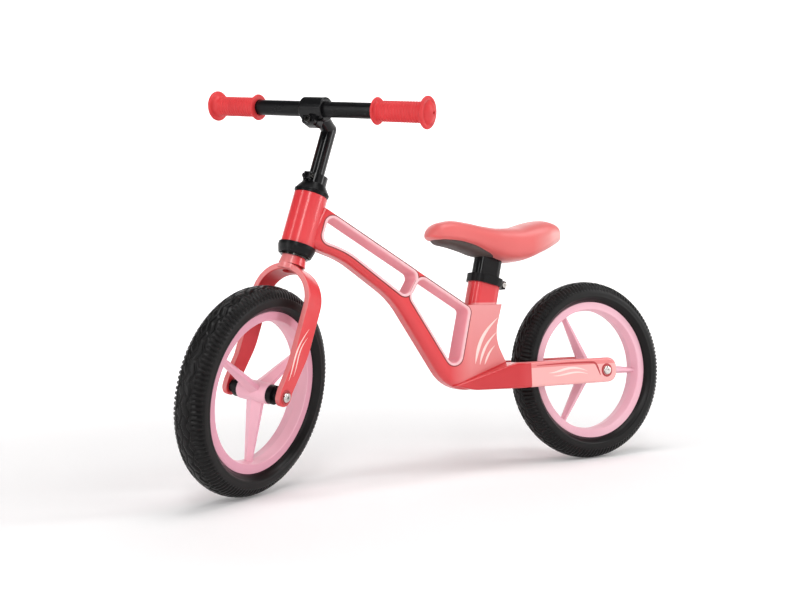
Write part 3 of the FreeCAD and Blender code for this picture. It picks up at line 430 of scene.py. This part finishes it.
def liner_paint():
    """Pale pink on the rolled lips, deeper pink on the band between, with a fine moulded grain."""
    paint = Painter("liner_pink")
    y = paint.math("ABSOLUTE", paint.coordinate(1))
    lip = paint.step(y, 0.0150, 0.0185)
    colour = paint.blend(lip, (0.82, 0.27, 0.33, 1.0), (0.92, 0.56, 0.58, 1.0))
    mottled = paint.blend(paint.spread(paint.noise(25.0), 0.0, 0.25), colour, (0.88, 0.42, 0.48, 1.0))
    paint.link(mottled, paint.shader.inputs["Base Color"])
    paint.link(paint.spread(paint.noise(90.0), 0.34, 0.46), paint.shader.inputs["Roughness"])
    paint.fill(Specular_IOR_Level=0.4)
    paint.bump(paint.noise(900.0, 2.0), 0.00004, 0.4)
    return paint.material


def gap_shade_paint():
    """Painted shade for the gap between liner and casting: dark red-brown, rough, with uneven depth."""
    paint = Painter("gap_shade_coat")
    paint.mottle(35.0, 3.0, (0.16, 0.020, 0.020, 1.0), (0.30, 0.050, 0.050, 1.0))
    paint.link(paint.spread(paint.noise(150.0), 0.6, 0.8), paint.shader.inputs["Roughness"])
    paint.bump(paint.noise(900.0, 2.0), 0.00002, 0.4)
    return paint.material


liner_pink = liner_paint()
lip_and_band = np.array([(3.6, 18.7), (3.5, 19.3), (3.0, 19.75), (2.2, 19.95), (1.2, 19.8), (0.4, 19.3),
                         (-0.25, 18.3), (-0.55, 17.0), (-0.6, 15.5), (-0.45, 12.0), (-0.4, 6.0),
                         (-0.4, 0.0)]) / 1000
back = np.array([(3.2, -18.5), (0.8, -16.5), (0.8, 16.5), (3.2, 18.5)]) / 1000
liner_profile = np.vstack([lip_and_band, lip_and_band[-2::-1] * [1, -1], back])
gap_shade_turn = np.linspace(0, 2 * np.pi, 8, endpoint=False)
gap_shade_coat = gap_shade_paint()
for name, middle in (("front_window", (0.110, 0.338)), ("rear_window", (0.000, 0.250))):
    piece = bead(name + "_liner", middle, liner_profile)
    piece.data.materials.append(liner_pink)
    for side, word in ((1, "left"), (-1, "right")):
        # A dark strip by each lip: painted shade for the gap between liner and casting.
        gap_shade_profile = np.stack([0.0043 + 0.0008 * np.cos(gap_shade_turn),
                                 side * (0.01905 + 0.00025 * np.sin(gap_shade_turn))], -1)
        piece = bead(name + "_gap_shade_" + word, middle, gap_shade_profile)
        piece.data.materials.append(gap_shade_coat)


# ------------------------------------------------------------------ printed waves and the stay's groove
# Thin strokes, a fifth of a millimetre proud: screen-printed plain waves on the block, the stays and the fork
# blades, and a dark line round each stay's end that is painted shade for its groove. A dark red ring under
# each axle bolt's head is painted shade for the recess it sits in.
def stroke(name, spine, half_width, place, lift=0.0002):
    """A flat stroke with pointed ends. Its section is a lens: across = w cos v, height = lift sin v,
    carried along a spine of (N, 2) points; place maps (a, b, height) into the row frame."""
    tangent = np.gradient(spine, axis=0)
    tangent /= np.linalg.norm(tangent, axis=1, keepdims=True)
    normal = np.stack([-tangent[:, 1], tangent[:, 0]], -1)
    v = np.linspace(0, 2 * np.pi, 12, endpoint=False)
    across = half_width[:, None] * np.cos(v)[None, :]
    height = np.clip(half_width[:, None] * 4, 0, lift) * np.sin(v)[None, :]
    flat = spine[:, None, :] + normal[:, None, :] * across[..., None]
    corners = place(flat[..., 0], flat[..., 1], height)
    return new_mesh(name, corners.reshape(-1, 3), grid_faces(len(spine), 12, False, True))


def turned_surface(name, radii, heights, centre, axis, steps=112):
    """A closed profile of (radius, height) points turned about an axis; the ends may lie on the axis."""
    axis = np.array(axis) / np.linalg.norm(axis)
    side = np.cross(axis, (0.0, 0.0, 1.0))
    side /= np.linalg.norm(side)
    other = np.cross(axis, side)
    angle = np.linspace(0, 2 * np.pi, steps, endpoint=False)
    radii = np.asarray(radii)
    heights = np.asarray(heights)
    round_about = np.cos(angle)[:, None] * side + np.sin(angle)[:, None] * other
    corners = centre + heights[None, :, None] * axis + radii[None, :, None] * round_about[:, None, :]
    return new_mesh(name, corners.reshape(-1, 3), grid_faces(steps, len(radii), True, True))


def tapered(count, widest, lean=0.5):
    """A half width that starts and ends at a hair, widest where lean says."""
    t = np.linspace(0, 1, count)
    swell = np.where(t < lean, t / lean, (1 - t) / (1 - lean))
    return 0.00002 + widest * np.sin(swell * np.pi / 2) ** 0.8


def bezier(points, count=60):
    """A smooth curve with four control points."""
    t = np.linspace(0, 1, count)[:, None]
    p = np.array(points)
    return ((1 - t) ** 3 * p[0] + 3 * (1 - t) ** 2 * t * p[1]
            + 3 * (1 - t) * t ** 2 * p[2] + t ** 3 * p[3])


def print_and_shade_paint(name, colour, variation):
    """Satin ink with faint unevenness; the same finish carries the painted shade of the groove and bolt
    recesses.
    """
    paint = Painter(name)
    paint.mottle(40.0, 3.0, colour, variation)
    paint.link(paint.spread(paint.noise(120.0), 0.35, 0.5), paint.shader.inputs["Roughness"])
    paint.bump(paint.noise(700.0, 2.0), 0.00002, 0.4)
    return paint.material


ink = print_and_shade_paint("wave_ink", (0.93, 0.66, 0.62, 1.0), (0.95, 0.72, 0.68, 1.0))
# Painted shade for the stays' groove and the bolts' recesses, in dark red.
groove_shade = print_and_shade_paint("groove_shadow", (0.42, 0.020, 0.026, 1.0), (0.50, 0.030, 0.036, 1.0))
block_waves = [([(-0.058, 0.168), (-0.066, 0.205), (-0.076, 0.218), (-0.104, 0.240)], 0.0030),
               ([(-0.066, 0.166), (-0.073, 0.192), (-0.082, 0.202), (-0.099, 0.216)], 0.0022),
               ([(-0.075, 0.166), (-0.081, 0.181), (-0.086, 0.188), (-0.096, 0.196)], 0.0017)]
stay_waves = [([(-0.172, 0.149), (-0.198, 0.147), (-0.212, 0.163), (-0.250, 0.148)], 0.0019),
              ([(-0.180, 0.144), (-0.204, 0.141), (-0.220, 0.153), (-0.252, 0.143)], 0.0014)]
along_stay = bezier([(-0.150, 0.1615), (-0.190, 0.1630), (-0.230, 0.1630), (-0.262, 0.1615)], 50)
round_end = bezier([(-0.262, 0.1615), (-0.269, 0.161), (-0.2705, 0.154), (-0.2765, 0.140)], 24)
groove_line = np.vstack([along_stay, round_end[1:]])
groove_half = 0.0004 + tapered(len(groove_line), 0.0013, 0.85)
fork_waves = [([(0.004, 0.022), (0.000, 0.050), (0.012, 0.062), (-0.012, 0.100)], 0.0018),
              ([(-0.004, 0.030), (-0.008, 0.052), (0.004, 0.064), (-0.014, 0.088)], 0.0013)]
seat_radii = np.array([7.6, 8.4, 10.2, 11.0, 10.2, 8.4]) / 1000
seat_rise = np.array([0.1, 0.45, 0.45, 0.0, -0.3, -0.3]) / 1000


def printed(piece, body, material):
    """Finish a printed stroke or a painted shade line or ring: its colour and the body it rides."""
    piece.data.materials.append(material)
    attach(face_out(piece), body)


for side, word in ((1, "left"), (-1, "right")):
    def on_block(a, b, height, side=side):
        return np.stack([a, side * (0.01905 + height), b], -1)

    def on_stay(a, b, height, side=side):
        return np.stack([a, side * (0.05205 + height), b], -1)

    for i, (points, widest) in enumerate(block_waves):
        half_width = tapered(60, widest, 0.3)
        printed(stroke("block_wave_%s_%d" % (word, i), bezier(points), half_width, on_block), "frame", ink)
    for i, (points, widest) in enumerate(stay_waves):
        half_width = tapered(60, widest)
        printed(stroke("stay_wave_%s_%d" % (word, i), bezier(points), half_width, on_stay), "frame", ink)
    # A dark line round the stay's end: painted shade for its groove.
    printed(stroke("stay_groove_" + word, groove_line, groove_half, on_stay), "frame", groove_shade)

    # Dark red rings under the bolt heads: painted shade for their recesses.
    for body, hub, axis, height in (("frame", rear_hub, y_axis, 0.0521), ("fork", front_hub, left, 0.0511)):
        name = "bolt_seat_%s_%s" % (body, word)
        ring = turned_surface(name, seat_radii, height + seat_rise, hub, side * axis, 64)
        printed(ring, body, groove_shade)

    def on_blade(a, b, height, side=side):
        return (front_hub + np.multiply.outer(a, forward) + np.multiply.outer(b, up)
                + np.multiply.outer(np.broadcast_to(side * (0.05105 + height), np.shape(height)), left))

    for i, (points, widest) in enumerate(fork_waves):
        half_width = tapered(60, widest)
        printed(stroke("fork_wave_%s_%d" % (word, i), bezier(points), half_width, on_blade), "fork", ink)


# ------------------------------------------------------------------ headset, collar, bar post and bar
# Black parts: moulded nylon cups and cover, a satin powder-coated bar and a glossy painted post. Thin
# machining and moulding marks run through the roughness and the bump.
def black_paint(name, colour, low, high, coat, grain, depth):
    """Black with a roughness that drifts between two values, an optional clear coat and a fine grain."""
    paint = Painter(name)
    paint.mottle(18.0, 3.0, colour, tuple(1.5 * c for c in colour[:3]) + (1.0,))
    paint.link(paint.spread(paint.noise(55.0), low, high), paint.shader.inputs["Roughness"])
    paint.fill(Coat_Weight=coat, Coat_Roughness=0.06, Specular_IOR_Level=0.18)
    paint.bump(paint.noise(grain, 2.0), depth, 0.5)
    return paint.material


black_gloss = black_paint("black_gloss", (0.004, 0.004, 0.0045, 1.0), 0.14, 0.22, 0.20, 900.0, 0.00001)
black_satin = black_paint("black_satin", (0.0035, 0.0035, 0.004, 1.0), 0.26, 0.36, 0.0, 900.0, 0.00003)
black_nylon = black_paint("black_nylon", (0.0035, 0.0035, 0.004, 1.0), 0.30, 0.42, 0.0, 1200.0, 0.00004)
for node in ("stem", "seat_post", "post_clamp"):
    dress(node, black_gloss)
dress("handlebar", black_satin)
for node in ("lower_cup", "upper_cup", "headset_cover", "front_hub_caps", "rear_hub_caps", "front_spacers",
             "rear_spacers", "seat_clamp"):
    dress(node, black_nylon)


# ------------------------------------------------------------------ bright metal
# Zinc-plated bolts, ground bearing rings and bare steel axles; the headset's rings and the clamp bolts on the
# bar post are blackened. The plating is mottled and slightly pitted.
def steel_paint(name, first, second):
    """Plated steel in two mottled shades, roughness from 0.18 to 0.32."""
    paint = Painter(name)
    paint.mottle(90.0, 3.0, first, second)
    paint.link(paint.spread(paint.noise(400.0), 0.18, 0.32), paint.shader.inputs["Roughness"])
    paint.fill(Metallic=1.0)
    paint.bump(paint.noise(1500.0, 2.0), 0.00002, 0.4)
    return paint.material


steel = steel_paint("bright_plate", (0.72, 0.70, 0.67, 1.0), (0.58, 0.57, 0.55, 1.0))
black_steel = steel_paint("black_plate", (0.030, 0.029, 0.028, 1.0), (0.055, 0.053, 0.050, 1.0))
for node in ("front_axle_bolts", "rear_axle_bolts", "front_axle", "rear_axle", "front_bearings",
             "rear_bearings", "front_bearing_spacer", "rear_bearing_spacer", "seat_clamp_bolt",
             "saddle_screws"):
    dress(node, steel)
for node in ("lower_balls", "upper_balls", "crown_race", "upper_race", "stem_bolt", "post_clamp_bolt"):
    dress(node, black_steel)


# ------------------------------------------------------------------ wheels
# Injection-moulded nylon in pale pink: channel rim, three ridged spokes and hub in one. The mould leaves a
# satin skin.
def wheel_paint():
    """Pale pink nylon with slow mottling and a satin skin, and painted shade: deeper pink where it turns to
    the rear left.
    """
    paint = Painter("wheel_pink")
    mixed = paint.mottle(14.0, 4.0, (0.88, 0.52, 0.60, 1.0), (0.86, 0.47, 0.56, 1.0))
    # Painted shade: deeper pink on faces that turn level towards the rear left (ASIDE).
    turned = paint.spread(paint.facing(ASIDE), 0.0, 0.55, 0.50, 1.0)
    deeper = paint.blend(turned, mixed, (0.60, 0.16, 0.28, 1.0))
    paint.link(deeper, paint.shader.inputs["Base Color"])
    paint.link(paint.spread(paint.noise(60.0), 0.30, 0.42), paint.shader.inputs["Roughness"])
    paint.fill(Specular_IOR_Level=0.4)
    paint.bump(paint.noise(800.0, 2.0), 0.00003, 0.4)
    return paint.material


wheel_pink = wheel_paint()
dress("front_wheel", wheel_pink)
dress("rear_wheel", wheel_pink)


# ------------------------------------------------------------------ tyres
# Foamed rubber, moulded in one. The tread has three zigzag grooves, a comb of 132 ribs round each shoulder,
# then a smooth sidewall with one raised ring near the rim.
def foam_tyre(name, body, hub, ahead, aside, above):
    """A tyre about an axle. Its section is two half ellipses, z = 24.4 sin t and r = 127.5 + h cos t (h = 20
    above the widest point, 17 below), closed by a foot in the rim. Each corner then sinks along the section's
    normal by the tread's depth at (angle, distance across)."""
    t = np.radians(np.concatenate([np.linspace(-143, -78, 14), np.linspace(-74, 74, 69),
                                   np.linspace(78, 143, 14)]))
    height = np.where(np.abs(t) < np.pi / 2, 20.0, 17.0)
    across = 24.4 * np.sign(np.sin(t)) * np.abs(np.sin(t)) ** 0.94
    radius = 127.5 + height * np.sign(np.cos(t)) * np.abs(np.cos(t)) ** 0.94
    run = np.concatenate([[0], np.cumsum(np.hypot(np.diff(across), np.diff(radius)))])
    distance = run - run[-1] / 2
    slope = np.stack([np.gradient(across), np.gradient(radius)], -1)
    slope /= np.linalg.norm(slope, axis=1, keepdims=True)
    normal = np.stack([-slope[:, 1], slope[:, 0]], -1)
    angle = np.linspace(0, 2 * np.pi, 900, endpoint=False)[:, None]
    zigzag = 2 * np.abs((angle * 33 / np.pi) % 2 - 1) - 1
    d = distance[None, :]

    def groove(middle, half, edge=0.7):
        """1 within half of a line, falling to 0 over an edge."""
        return np.clip((half + edge - np.abs(d - middle)) / edge, 0, 1)

    depth = 2.2 * np.maximum(groove(8.6 + 2.6 * zigzag, 0.9), groove(-8.6 - 2.6 * zigzag, 0.9))
    depth = np.maximum(depth, 1.6 * groove(2.4 * zigzag, 0.4))
    comb = np.clip(1.8 * np.sin(132 * angle + 0.10 * np.abs(d)) + 0.1, 0, 1)
    shoulder = np.clip((np.abs(d) - 13.0) / 1.2, 0, 1) * np.clip((30.0 - np.abs(d)) / 1.5, 0, 1)
    depth = np.maximum(depth, 2.3 * comb * shoulder)
    link = np.clip(1.6 * np.sin(66 * angle + 0.5 * d) - 0.7, 0, 1) * np.clip((13.0 - np.abs(d)) / 1.0, 0, 1)
    depth = np.maximum(depth, 1.5 * link * np.clip((np.abs(d) - 3.0), 0, 1))
    ring_up = 1.3 * np.exp(-((np.abs(d) - 41.0) / 1.3) ** 2) + 0.5 * np.exp(-((np.abs(d) - 31.5) / 0.8) ** 2)
    sink = depth - np.broadcast_to(ring_up, depth.shape)
    z = across[None, :] - normal[None, :, 0] * sink
    r = radius[None, :] - normal[None, :, 1] * sink
    foot_z = np.array([11.3, 9.4, 0.0, -9.4, -11.3])
    foot_r = np.array([113.3, 107.2, 107.2, 107.2, 113.3])
    z = np.hstack([z, np.broadcast_to(foot_z, (len(angle), 5))]) / 1000
    r = np.hstack([r, np.broadcast_to(foot_r, (len(angle), 5))]) / 1000
    corners = (hub + z[..., None] * aside + (r * np.cos(angle))[..., None] * ahead
               + (r * np.sin(angle))[..., None] * above)
    piece = new_mesh(name, corners.reshape(-1, 3), grid_faces(*z.shape, True, True))
    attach(face_out(piece), body)
    return piece


def tyre_paint():
    """Matt black foam: tiny closed pores and dusty patches."""
    paint = Painter("tyre_black")
    paint.mottle(22.0, 5.0, (0.0030, 0.0028, 0.0028, 1.0), (0.0055, 0.0050, 0.0050, 1.0))
    paint.link(paint.spread(paint.noise(150.0), 0.30, 0.40), paint.shader.inputs["Roughness"])
    paint.fill(Specular_IOR_Level=0.22)
    paint.bump(paint.noise(1400.0, 2.0), 0.00002, 0.3)
    return paint.material


tyre_black = tyre_paint()
for name, body, hub, ahead, aside, above in (("front_tyre", "front_wheel", front_hub, forward, left, up),
                                             ("rear_tyre", "rear_wheel", rear_hub, x_axis, y_axis, z_axis)):
    piece = foam_tyre(name + "_tread", body, hub, ahead, aside, above)
    piece.data.materials.append(tyre_black)
    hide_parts(name)


# ------------------------------------------------------------------ grips
# Soft rubber grips pushed over the bar ends: a rounded inner collar, a ribbed barrel, a broad outer collar
# with a groove round it and a domed end with a small vent.
def grip_profile():
    """The grip from the bar outwards, in millimetres: round collars are half circles, the barrel carries
    fourteen ribs of half a millimetre, the end is a shallow dome."""
    bend = np.linspace(0, np.pi, 15)
    inner = np.stack([16.2 + 2.7 * np.sin(bend), 103.2 - 2.2 * np.cos(bend)], -1)
    barrel_z = np.linspace(109, 172, 253)
    fade = np.clip((barrel_z - 109) / 2, 0, 1) * np.clip((172 - barrel_z) / 2, 0, 1)
    barrel_r = 13.7 + 0.55 * fade * np.clip(1.6 * np.sin((barrel_z - 109) / 4.5 * 2 * np.pi) + 0.3, -0.4, 1)
    barrel = np.stack([barrel_r, barrel_z], -1)
    outer = np.stack([19.0 + 3.1 * np.sin(bend), 181.0 - 3.0 * np.cos(bend)], -1)
    ledge = np.array([(17.4, 183.8), (16.8, 183.0), (15.8, 183.0), (15.2, 183.9)])
    u = np.linspace(0, 1, 22)
    dome = np.stack([15.0 - 12.4 * u, 184.2 + 6.4 * np.sin(u * np.pi / 2) ** 0.8], -1)
    vent = np.array([(2.4, 190.3), (2.2, 189.6), (2.1, 186.0), (0.2, 185.8)])
    inside = np.array([(0.2, 182.6), (11.0, 182.6), (11.0, 101.2), (12.5, 101.0)])
    neck = np.array([(14.2, 105.6), (13.8, 107.4)])
    return np.vstack([inner, neck, barrel, [(14.4, 175.0), (16.6, 177.4)], outer, ledge, dome, vent, inside])


def grip_paint():
    """Satin coral rubber with a fine pebbled skin."""
    paint = Painter("grip_rubber")
    paint.mottle(30.0, 4.0, (0.68, 0.036, 0.040, 1.0), (0.60, 0.028, 0.032, 1.0))
    paint.link(paint.spread(paint.noise(90.0), 0.42, 0.56), paint.shader.inputs["Roughness"])
    paint.fill(Specular_IOR_Level=0.4)
    paint.bump(paint.noise(1100.0, 2.0), 0.00006, 0.5)
    return paint.material


bar = frame["nodes"]["handlebar"]
bar_corners = np.array([tuple(v.co) for v in bar.data.vertices])
bar_centre = (bar_corners.min(axis=0) + bar_corners.max(axis=0)) / 2
grip_rubber = grip_paint()
profile = grip_profile() / 1000
for side, word in ((1, "left"), (-1, "right")):
    piece = turned_surface(word + "_grip_rubber", profile[:, 0], profile[:, 1], bar_centre, side * left)
    piece.data.materials.append(grip_rubber)
    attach(face_out(piece), "stem")
    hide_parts(word + "_grip")


# ------------------------------------------------------------------ saddle
# A moulded foam pad under one stretched skin, snapped over a dark nylon tray. The nose is narrow and drops
# at the tip, the waist dips and the broad tail rises; the skirt hangs lowest over the post.
def smooth_through(x, stations):
    """A smooth curve through (x, value) stations given from front to back, by monotone cubic steps."""
    xs, ys = np.array(stations).T[:, ::-1]
    h = np.diff(xs)
    slope = np.diff(ys) / h
    before, after = slope[:-1], slope[1:]
    inner = np.where(before * after > 0, 2 * before * after / (before + after + 1e-9), 0.0)
    m = np.concatenate([[slope[0]], inner, [slope[-1]]])
    k = np.clip(np.searchsorted(xs, x) - 1, 0, len(h) - 1)
    t = np.clip((x - xs[k]) / h[k], 0, 1)
    return ((2 * t ** 3 - 3 * t ** 2 + 1) * ys[k] + (t ** 3 - 2 * t ** 2 + t) * h[k] * m[k]
            + (3 * t ** 2 - 2 * t ** 3) * ys[k + 1] + (t ** 3 - t ** 2) * h[k] * m[k + 1])


def saddle_surface(name, x_front, x_back, top, bottom, half, waist, rows=170, columns=120):
    """Rings across the saddle. With v round the ring, y = w |cos v|^0.82, z = m + (top - m) |sin v|^0.9 above
    and m - (m - bottom) |sin v|^0.5 below, m a share of the way up; all shrink together at both ends like the
    root of the distance to the end."""
    u = np.linspace(0, np.pi, rows)
    x = (x_front + x_back) / 2 + (x_front - x_back) / 2 * np.cos(u)
    top_z = smooth_through(x, top)
    low_z = smooth_through(x, bottom)
    width = smooth_through(x, half)
    reach = np.minimum((x_front - x) / 16, (x - x_back) / 20)
    close = np.sqrt(np.clip(1 - (1 - np.clip(reach, 0, 1)) ** 2, 0, 1)) + 0.001
    level = low_z + waist * (top_z - low_z)
    v = np.linspace(0, 2 * np.pi, columns, endpoint=False)[None, :]
    y = (np.clip(width, 1, None) * close)[:, None] * np.sign(np.cos(v)) * np.abs(np.cos(v)) ** 0.82
    rise = np.sin(v)
    up_part = ((top_z - level) * close)[:, None] * np.abs(rise) ** 0.9
    down_part = ((level - low_z) * close)[:, None] * np.abs(rise) ** 0.5
    z = level[:, None] + np.where(rise >= 0, up_part, -down_part)
    corners = np.stack([np.broadcast_to(x[:, None], y.shape), y, z], -1) / 1000
    return face_out(new_mesh(name, corners.reshape(-1, 3), grid_faces(rows, columns, False, True)))


def skin_paint():
    """Satin coral skin with a fine leather grain, and a painted highlight that makes it paler towards the
    tail's sides.
    """
    paint = Painter("saddle_skin")
    mixed = paint.mottle(12.0, 4.0, (0.74, 0.150, 0.145, 1.0), (0.69, 0.125, 0.120, 1.0))
    # Painted highlight: paler towards the tail, behind x = -145 mm, on the sides but not the top.
    tail = paint.spread(paint.coordinate(0), 0.0, 0.80, -0.145, -0.205)
    side = paint.math("MULTIPLY", tail, paint.step(paint.facing((0, 0, 1)), 0.75, 0.15))
    paint.link(paint.blend(side, mixed, (0.78, 0.54, 0.51, 1.0)), paint.shader.inputs["Base Color"])
    paint.link(paint.spread(paint.noise(45.0), 0.34, 0.46), paint.shader.inputs["Roughness"])
    paint.fill(Specular_IOR_Level=0.5, Sheen_Weight=0.45, Sheen_Roughness=0.35)
    cells = paint.add("TexVoronoi")
    cells.inputs["Scale"].default_value = 620.0
    paint.link(paint.place(), cells.inputs["Vector"])
    paint.bump(cells.outputs["Distance"], 0.00010, 0.4)
    return paint.material


def tray_paint():
    """Dark brown-grey nylon with a coarse spark-eroded grain."""
    paint = Painter("saddle_tray")
    paint.mottle(30.0, 3.0, (0.055, 0.040, 0.036, 1.0), (0.075, 0.055, 0.050, 1.0))
    paint.link(paint.spread(paint.noise(80.0), 0.5, 0.65), paint.shader.inputs["Roughness"])
    paint.bump(paint.noise(1000.0, 2.0), 0.00008, 0.6)
    return paint.material


top_line = [(12, 372), (4, 383), (-10, 389), (-28, 392), (-52, 389.5), (-81, 384.5), (-109, 381.5),
            (-136, 382.5), (-160, 389), (-184, 394.5), (-202, 389.5), (-215, 379)]
skirt_line = [(12, 362.5), (-8, 360), (-34, 357.5), (-60, 351.5), (-85, 341), (-108, 331.5), (-127, 327),
              (-143, 327.5),
              (-170, 337), (-196, 350), (-215, 364)]
half_line = [(12, 20), (-10, 27), (-40, 31), (-70, 36), (-95, 43), (-120, 54), (-148, 64), (-174, 69),
             (-195, 65), (-215, 50)]
tray_top = [(6, 372), (-100, 366), (-190, 370)]
tray_line = [(6, 359), (-6, 355), (-32, 350), (-55, 343.5), (-75, 337), (-100, 333.5), (-150, 337),
             (-190, 350)]
tray_half = [(6, 14), (-10, 19), (-40, 23), (-80, 26), (-120, 34), (-160, 42), (-190, 40)]
pad = saddle_surface("saddle_cushion", 10.5, -215, top_line, skirt_line, half_line, 0.42)
pad.data.materials.append(skin_paint())
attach(pad, "seat")
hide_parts("saddle_pad")
tray = saddle_surface("saddle_tray", 3, -188, tray_top, tray_line, tray_half, 0.7, rows=120, columns=96)
tray.data.materials.append(tray_paint())
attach(tray, "seat")
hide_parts("saddle_base")
